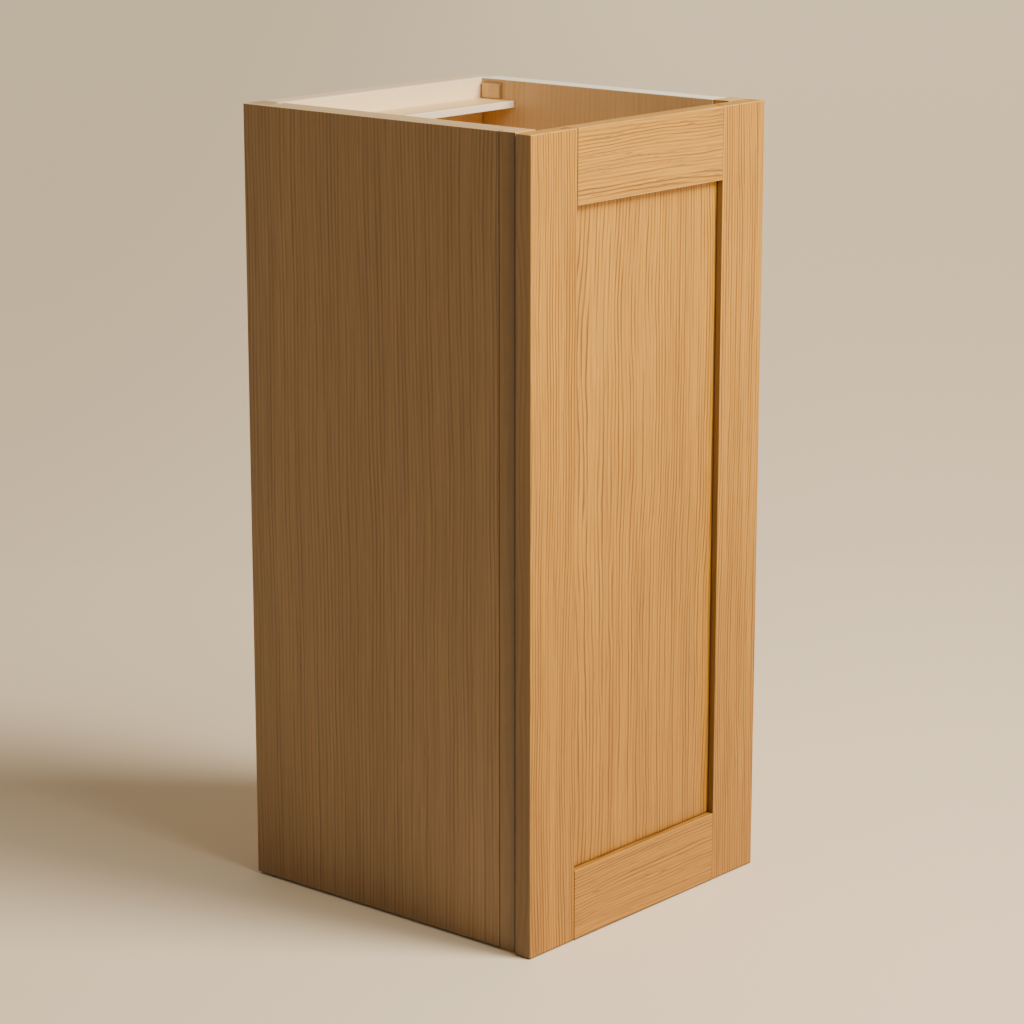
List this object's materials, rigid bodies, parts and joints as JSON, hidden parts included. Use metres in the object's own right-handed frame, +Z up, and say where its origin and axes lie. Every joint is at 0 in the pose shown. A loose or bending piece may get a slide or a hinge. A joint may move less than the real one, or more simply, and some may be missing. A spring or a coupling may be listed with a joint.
{
  "type": "hanging wall cabinet",
  "caption": "Tall narrow hanging wall cabinet with one framed recessed-panel door, a face frame, loose shelves and an open top.",
  "frame": {"origin": "middle of the upper hanging rail's back face, where the cabinet meets the wall", "axes": "+X to the right-hand side seen from the front, +Y back into the wall, +Z up"},
  "size_m": [0.3088, 0.3197, 0.6875],
  "materials": {
    "door_oak": "satin lacquered golden oak",
    "frame_oak": "satin lacquered golden oak",
    "skin_oak": "satin lacquered oak veneer",
    "side_board": "veneered board, oak face",
    "shelf_board": "matt maple-look laminate on board",
    "inside_board": "matt maple-look laminate on board",
    "rail_wood": "planed bare softwood",
    "dowel_beech": "bare beech",
    "pin_steel": "nickel plated",
    "hinge_nickel": "nickel plated",
    "screw_zinc": "zinc plated",
    "bumper_plastic": "clear matt"
  },
  "bodies": {
    "cabinet": {"back_panel": "inside_board", "block_brad_left": "screw_zinc", "block_brad_right": "screw_zinc", "bottom_panel": "inside_board", "corner_block_left": "side_board", "corner_block_right": "side_board", "end_skin_left": "skin_oak", "frame_bottom_rail": "frame_oak", "frame_dowel_bottom_left": "dowel_beech", "frame_dowel_bottom_right": "dowel_beech", "frame_dowel_top_left": "dowel_beech", "frame_dowel_top_right": "dowel_beech", "frame_stile_left": "frame_oak", "frame_stile_right": "frame_oak", "frame_top_rail": "frame_oak", "hanging_rail_lower": "rail_wood", "hanging_rail_upper": "rail_wood", "hinge_lower_bracket": "hinge_nickel", "hinge_lower_cabinet_pin": "hinge_nickel", "hinge_lower_screw_high": "screw_zinc", "hinge_lower_screw_low": "screw_zinc", "hinge_upper_bracket": "hinge_nickel", "hinge_upper_cabinet_pin": "hinge_nickel", "hinge_upper_screw_high": "screw_zinc", "hinge_upper_screw_low": "screw_zinc", "rail_screw_lower_left": "screw_zinc", "rail_screw_lower_right": "screw_zinc", "rail_screw_upper_left": "screw_zinc", "rail_screw_upper_right": "screw_zinc", "shelf_pin_lower_back_left": "pin_steel", "shelf_pin_lower_back_right": "pin_steel", "shelf_pin_lower_front_left": "pin_steel", "shelf_pin_lower_front_right": "pin_steel", "shelf_pin_upper_back_left": "pin_steel", "shelf_pin_upper_back_right": "pin_steel", "shelf_pin_upper_front_left": "pin_steel", "shelf_pin_upper_front_right": "pin_steel", "side_panel_left": "side_board", "side_panel_right": "side_board", "top_batten": "rail_wood"},
    "hinge_links": {"hinge_lower_link": "hinge_nickel", "hinge_upper_link": "hinge_nickel"},
    "door": {"door_bumper_lower": "bumper_plastic", "door_bumper_upper": "bumper_plastic", "door_centre_panel": "door_oak", "door_rail_bottom": "door_oak", "door_rail_top": "door_oak", "door_stile_left": "door_oak", "door_stile_right": "door_oak", "hinge_lower_cup": "hinge_nickel", "hinge_lower_door_pin": "hinge_nickel", "hinge_upper_cup": "hinge_nickel", "hinge_upper_door_pin": "hinge_nickel"},
    "shelf_lower": {"shelf_lower": "shelf_board"},
    "shelf_upper": {"shelf_upper": "shelf_board"}
  },
  "joints": [
    {"name": "door_on_links", "type": "hinge", "parent": "hinge_links", "child": "door", "pos_m": [0.143, -0.3072, 0], "axis": [0, 0, 1], "range_deg": [0, 152.25]},
    {"name": "links_on_cabinet", "type": "hinge", "parent": "cabinet", "child": "hinge_links", "pos_m": [0.119, -0.2936, 0], "axis": [0, 0, -1], "range_deg": [0, 47.25]},
    {"name": "shelf_lower_lift", "type": "slide", "parent": "cabinet", "child": "shelf_lower", "axis": [0, 0, 1], "range_m": [0, 0.03]},
    {"name": "shelf_upper_lift", "type": "slide", "parent": "cabinet", "child": "shelf_upper", "axis": [0, 0, 1], "range_m": [0, 0.03]}
  ],
  "couplings": [
    {"joint": "links_on_cabinet", "follows": "door_on_links", "ratio": 0.31034}
  ]
}
